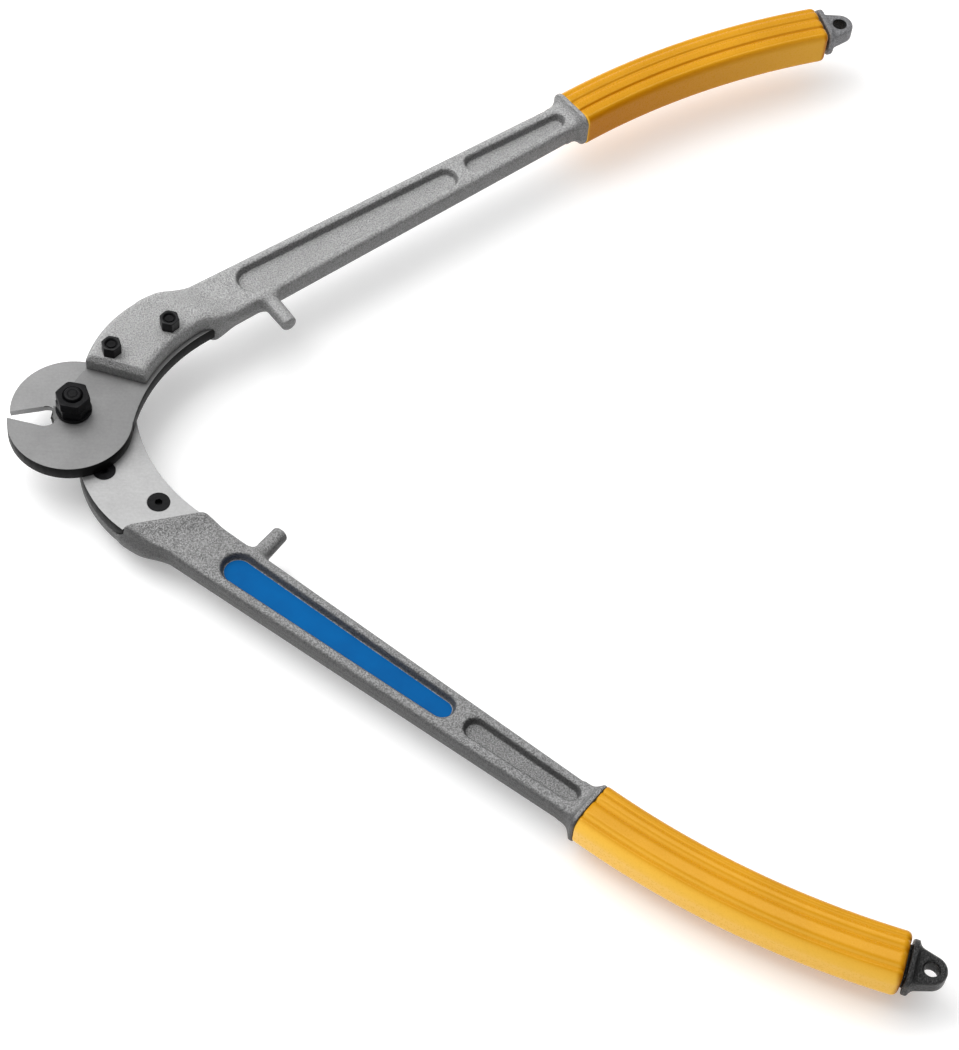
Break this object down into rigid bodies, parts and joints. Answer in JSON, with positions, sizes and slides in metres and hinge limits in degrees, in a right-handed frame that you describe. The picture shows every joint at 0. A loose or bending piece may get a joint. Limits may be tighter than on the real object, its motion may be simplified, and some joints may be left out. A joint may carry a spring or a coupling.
{
  "type": "hand wire rope cutter",
  "caption": "Long-handled wire rope cutter with hooked blades bolted to cast handles that turn on a pivot bolt, curved ribbed grips and hanging holes.",
  "frame": {"origin": "on the pivot axis, in the plane where the two blades slide on each other", "axes": "+X from the pivot towards the handles, +Z along the pivot bolt towards its nuts, +Y towards the upper arm"},
  "size_m": [0.4916, 0.6636, 0.0506],
  "materials": {
    "cast_aluminium": "sand cast",
    "ground_steel": "ground, blackened edges",
    "grip_plastic": "satin",
    "label": "satin",
    "black_steel": "black oxide"
  },
  "bodies": {
    "lower_arm": {"lower_handle": "cast_aluminium", "lower_blade": "ground_steel", "lower_grip": "grip_plastic", "lower_label": "label", "lower_front_screw": "black_steel", "lower_rear_screw": "black_steel", "lower_front_nut": "black_steel", "lower_rear_nut": "black_steel", "pivot_bolt": "black_steel", "pivot_washer": "black_steel", "adjusting_nut": "black_steel", "lock_nut": "black_steel"},
    "upper_arm": {"upper_handle": "cast_aluminium", "upper_blade": "ground_steel", "upper_grip": "grip_plastic", "upper_front_screw": "black_steel", "upper_rear_screw": "black_steel", "upper_front_nut": "black_steel", "upper_rear_nut": "black_steel"}
  },
  "joints": [
    {"name": "arm_pivot", "type": "hinge", "parent": "lower_arm", "child": "upper_arm", "pos_m": [0, 0, 0], "axis": [0, 0, 1], "range_deg": [-59.5, 25]}
  ]
}
